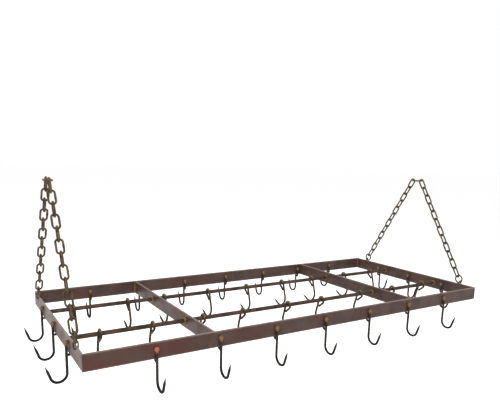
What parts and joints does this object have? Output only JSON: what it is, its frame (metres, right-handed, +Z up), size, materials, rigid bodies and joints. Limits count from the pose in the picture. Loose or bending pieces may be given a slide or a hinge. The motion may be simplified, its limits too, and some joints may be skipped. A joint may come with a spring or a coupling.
{
  "type": "hanging pot rack",
  "caption": "Rectangular steel rack that hangs on chains from the ceiling, with hooks along its bars and rods for pots and pans.",
  "frame": {"origin": "half way between the two points where the ceiling hooks bear, at their height", "axes": "+X along the rack to its right end, +Y to its back, +Z up"},
  "size_m": [1.3176, 0.6318, 0.4346],
  "materials": {
    "bar_steel": "aged brown patina on flat steel bar",
    "rod_steel": "aged brown patina on round steel bar",
    "braze": "rough brass braze",
    "hook_steel": "dark wire with copper-coloured heads",
    "rod_hook_steel": "dark olive-brown wire",
    "chain_steel": "olive-brass aged chain"
  },
  "bodies": {
    "hangers": {"left_hanging_link": "chain_steel", "right_hanging_link": "chain_steel", "left_upper_links": "chain_steel", "right_upper_links": "chain_steel"},
    "left_chains": {"left_front_chain": "chain_steel", "left_back_chain": "chain_steel", "left_rings": "chain_steel"},
    "right_chains": {"right_front_chain": "chain_steel", "right_back_chain": "chain_steel", "right_rings": "chain_steel"},
    "rack_frame": {"front_bar": "bar_steel", "back_bar": "bar_steel", "left_end_bar": "bar_steel", "right_end_bar": "bar_steel", "left_cross_bar": "bar_steel", "right_cross_bar": "bar_steel", "front_rod": "rod_steel", "back_rod": "rod_steel", "frame_brazes": "braze", "rod_brazes": "braze", "ring_eyelets": "chain_steel"},
    "front_hook_1": {"front_hook_1": "hook_steel"},
    "back_hook_1": {"back_hook_1": "hook_steel"},
    "front_hook_2": {"front_hook_2": "hook_steel"},
    "back_hook_2": {"back_hook_2": "hook_steel"},
    "front_hook_3": {"front_hook_3": "hook_steel"},
    "back_hook_3": {"back_hook_3": "hook_steel"},
    "front_hook_4": {"front_hook_4": "hook_steel"},
    "back_hook_4": {"back_hook_4": "hook_steel"},
    "front_hook_5": {"front_hook_5": "hook_steel"},
    "back_hook_5": {"back_hook_5": "hook_steel"},
    "front_hook_6": {"front_hook_6": "hook_steel"},
    "back_hook_6": {"back_hook_6": "hook_steel"},
    "front_hook_7": {"front_hook_7": "hook_steel"},
    "back_hook_7": {"back_hook_7": "hook_steel"},
    "left_hook_1": {"left_hook_1": "hook_steel"},
    "right_hook_1": {"right_hook_1": "hook_steel"},
    "left_hook_2": {"left_hook_2": "hook_steel"},
    "right_hook_2": {"right_hook_2": "hook_steel"},
    "left_hook_3": {"left_hook_3": "hook_steel"},
    "right_hook_3": {"right_hook_3": "hook_steel"},
    "front_rod_hook_1": {"front_rod_hook_1": "rod_hook_steel"},
    "front_rod_hook_2": {"front_rod_hook_2": "rod_hook_steel"},
    "front_rod_hook_3": {"front_rod_hook_3": "rod_hook_steel"},
    "front_rod_hook_4": {"front_rod_hook_4": "rod_hook_steel"},
    "front_rod_hook_5": {"front_rod_hook_5": "rod_hook_steel"},
    "front_rod_hook_6": {"front_rod_hook_6": "rod_hook_steel"},
    "front_rod_hook_7": {"front_rod_hook_7": "rod_hook_steel"},
    "front_rod_hook_8": {"front_rod_hook_8": "rod_hook_steel"},
    "front_rod_hook_9": {"front_rod_hook_9": "rod_hook_steel"},
    "back_rod_hook_1": {"back_rod_hook_1": "rod_hook_steel"},
    "back_rod_hook_2": {"back_rod_hook_2": "rod_hook_steel"},
    "back_rod_hook_3": {"back_rod_hook_3": "rod_hook_steel"},
    "back_rod_hook_4": {"back_rod_hook_4": "rod_hook_steel"},
    "back_rod_hook_5": {"back_rod_hook_5": "rod_hook_steel"},
    "back_rod_hook_6": {"back_rod_hook_6": "rod_hook_steel"},
    "back_rod_hook_7": {"back_rod_hook_7": "rod_hook_steel"},
    "back_rod_hook_8": {"back_rod_hook_8": "rod_hook_steel"},
    "back_rod_hook_9": {"back_rod_hook_9": "rod_hook_steel"}
  },
  "joints": [
    {"name": "left_chain_swing", "type": "hinge", "parent": "hangers", "child": "left_chains", "pos_m": [-0.608, 0, -0.02263], "axis": [0, 1, 0], "range_deg": [-15, 15]},
    {"name": "frame_level", "type": "hinge", "parent": "left_chains", "child": "rack_frame", "pos_m": [-0.608, 0, -0.31384], "axis": [0, 1, 0], "range_deg": [-15, 15]},
    {"name": "right_chain_swing", "type": "hinge", "parent": "hangers", "child": "right_chains", "pos_m": [0.608, 0, -0.02263], "axis": [0, 1, 0], "range_deg": [-15, 15]},
    {"name": "front_hook_1_sway", "type": "hinge", "parent": "rack_frame", "child": "front_hook_1", "pos_m": [-0.4572, -0.2651, -0.3341], "axis": [0, 1, 0], "range_deg": [-24, 24]},
    {"name": "back_hook_1_sway", "type": "hinge", "parent": "rack_frame", "child": "back_hook_1", "pos_m": [-0.4572, 0.2651, -0.3341], "axis": [0, 1, 0], "range_deg": [-24, 24]},
    {"name": "front_hook_2_sway", "type": "hinge", "parent": "rack_frame", "child": "front_hook_2", "pos_m": [-0.3048, -0.2651, -0.3341], "axis": [0, 1, 0], "range_deg": [-24, 15]},
    {"name": "back_hook_2_sway", "type": "hinge", "parent": "rack_frame", "child": "back_hook_2", "pos_m": [-0.3048, 0.2651, -0.3341], "axis": [0, 1, 0], "range_deg": [-24, 15]},
    {"name": "front_hook_3_sway", "type": "hinge", "parent": "rack_frame", "child": "front_hook_3", "pos_m": [-0.1524, -0.2651, -0.3341], "axis": [0, 1, 0], "range_deg": [-24, 24]},
    {"name": "back_hook_3_sway", "type": "hinge", "parent": "rack_frame", "child": "back_hook_3", "pos_m": [-0.1524, 0.2651, -0.3341], "axis": [0, 1, 0], "range_deg": [-24, 24]},
    {"name": "front_hook_4_sway", "type": "hinge", "parent": "rack_frame", "child": "front_hook_4", "pos_m": [0, -0.2651, -0.3341], "axis": [0, 1, 0], "range_deg": [-24, 24]},
    {"name": "back_hook_4_sway", "type": "hinge", "parent": "rack_frame", "child": "back_hook_4", "pos_m": [0, 0.2651, -0.3341], "axis": [0, 1, 0], "range_deg": [-24, 24]},
    {"name": "front_hook_5_sway", "type": "hinge", "parent": "rack_frame", "child": "front_hook_5", "pos_m": [0.1524, -0.2651, -0.3341], "axis": [0, 1, 0], "range_deg": [-24, 24]},
    {"name": "back_hook_5_sway", "type": "hinge", "parent": "rack_frame", "child": "back_hook_5", "pos_m": [0.1524, 0.2651, -0.3341], "axis": [0, 1, 0], "range_deg": [-24, 24]},
    {"name": "front_hook_6_sway", "type": "hinge", "parent": "rack_frame", "child": "front_hook_6", "pos_m": [0.3048, -0.2651, -0.3341], "axis": [0, 1, 0], "range_deg": [-15, 24]},
    {"name": "back_hook_6_sway", "type": "hinge", "parent": "rack_frame", "child": "back_hook_6", "pos_m": [0.3048, 0.2651, -0.3341], "axis": [0, 1, 0], "range_deg": [-15, 24]},
    {"name": "front_hook_7_sway", "type": "hinge", "parent": "rack_frame", "child": "front_hook_7", "pos_m": [0.4572, -0.2651, -0.3341], "axis": [0, 1, 0], "range_deg": [-24, 24]},
    {"name": "back_hook_7_sway", "type": "hinge", "parent": "rack_frame", "child": "back_hook_7", "pos_m": [0.4572, 0.2651, -0.3341], "axis": [0, 1, 0], "range_deg": [-24, 24]},
    {"name": "left_hook_1_sway", "type": "hinge", "parent": "rack_frame", "child": "left_hook_1", "pos_m": [-0.608, -0.144, -0.3341], "axis": [1, 0, 0], "range_deg": [-24, 24]},
    {"name": "right_hook_1_sway", "type": "hinge", "parent": "rack_frame", "child": "right_hook_1", "pos_m": [0.608, -0.144, -0.3341], "axis": [1, 0, 0], "range_deg": [-24, 24]},
    {"name": "left_hook_2_sway", "type": "hinge", "parent": "rack_frame", "child": "left_hook_2", "pos_m": [-0.608, 0, -0.3341], "axis": [1, 0, 0], "range_deg": [-24, 24]},
    {"name": "right_hook_2_sway", "type": "hinge", "parent": "rack_frame", "child": "right_hook_2", "pos_m": [0.608, 0, -0.3341], "axis": [1, 0, 0], "range_deg": [-24, 24]},
    {"name": "left_hook_3_sway", "type": "hinge", "parent": "rack_frame", "child": "left_hook_3", "pos_m": [-0.608, 0.144, -0.3341], "axis": [1, 0, 0], "range_deg": [-24, 24]},
    {"name": "right_hook_3_sway", "type": "hinge", "parent": "rack_frame", "child": "right_hook_3", "pos_m": [0.608, 0.144, -0.3341], "axis": [1, 0, 0], "range_deg": [-24, 24]},
    {"name": "front_rod_hook_1_slide", "type": "slide", "parent": "rack_frame", "child": "front_rod_hook_1", "axis": [1, 0, 0], "range_m": [-0.0657, 0.0595]},
    {"name": "front_rod_hook_2_slide", "type": "slide", "parent": "rack_frame", "child": "front_rod_hook_2", "axis": [1, 0, 0], "range_m": [-0.0595, 0.0757]},
    {"name": "front_rod_hook_3_slide", "type": "slide", "parent": "rack_frame", "child": "front_rod_hook_3", "axis": [1, 0, 0], "range_m": [-0.0377, 0.055]},
    {"name": "front_rod_hook_4_slide", "type": "slide", "parent": "rack_frame", "child": "front_rod_hook_4", "axis": [1, 0, 0], "range_m": [-0.055, 0.0695]},
    {"name": "front_rod_hook_5_slide", "type": "slide", "parent": "rack_frame", "child": "front_rod_hook_5", "axis": [1, 0, 0], "range_m": [-0.0695, 0.056]},
    {"name": "front_rod_hook_6_slide", "type": "slide", "parent": "rack_frame", "child": "front_rod_hook_6", "axis": [1, 0, 0], "range_m": [-0.056, 0.072]},
    {"name": "front_rod_hook_7_slide", "type": "slide", "parent": "rack_frame", "child": "front_rod_hook_7", "axis": [1, 0, 0], "range_m": [-0.072, 0.0427]},
    {"name": "front_rod_hook_8_slide", "type": "slide", "parent": "rack_frame", "child": "front_rod_hook_8", "axis": [1, 0, 0], "range_m": [-0.0767, 0.066]},
    {"name": "front_rod_hook_9_slide", "type": "slide", "parent": "rack_frame", "child": "front_rod_hook_9", "axis": [1, 0, 0], "range_m": [-0.066, 0.0517]},
    {"name": "back_rod_hook_1_slide", "type": "slide", "parent": "rack_frame", "child": "back_rod_hook_1", "axis": [1, 0, 0], "range_m": [-0.0587, 0.0685]},
    {"name": "back_rod_hook_2_slide", "type": "slide", "parent": "rack_frame", "child": "back_rod_hook_2", "axis": [1, 0, 0], "range_m": [-0.0685, 0.0647]},
    {"name": "back_rod_hook_3_slide", "type": "slide", "parent": "rack_frame", "child": "back_rod_hook_3", "axis": [1, 0, 0], "range_m": [-0.0227, 0.0665]},
    {"name": "back_rod_hook_4_slide", "type": "slide", "parent": "rack_frame", "child": "back_rod_hook_4", "axis": [1, 0, 0], "range_m": [-0.0665, 0.064]},
    {"name": "back_rod_hook_5_slide", "type": "slide", "parent": "rack_frame", "child": "back_rod_hook_5", "axis": [1, 0, 0], "range_m": [-0.064, 0.064]},
    {"name": "back_rod_hook_6_slide", "type": "slide", "parent": "rack_frame", "child": "back_rod_hook_6", "axis": [1, 0, 0], "range_m": [-0.064, 0.0575]},
    {"name": "back_rod_hook_7_slide", "type": "slide", "parent": "rack_frame", "child": "back_rod_hook_7", "axis": [1, 0, 0], "range_m": [-0.0575, 0.0587]},
    {"name": "back_rod_hook_8_slide", "type": "slide", "parent": "rack_frame", "child": "back_rod_hook_8", "axis": [1, 0, 0], "range_m": [-0.0677, 0.06]},
    {"name": "back_rod_hook_9_slide", "type": "slide", "parent": "rack_frame", "child": "back_rod_hook_9", "axis": [1, 0, 0], "range_m": [-0.06, 0.0727]}
  ],
  "couplings": [
    {"joint": "frame_level", "follows": "left_chain_swing", "ratio": -1},
    {"joint": "right_chain_swing", "follows": "left_chain_swing", "ratio": 1}
  ]
}
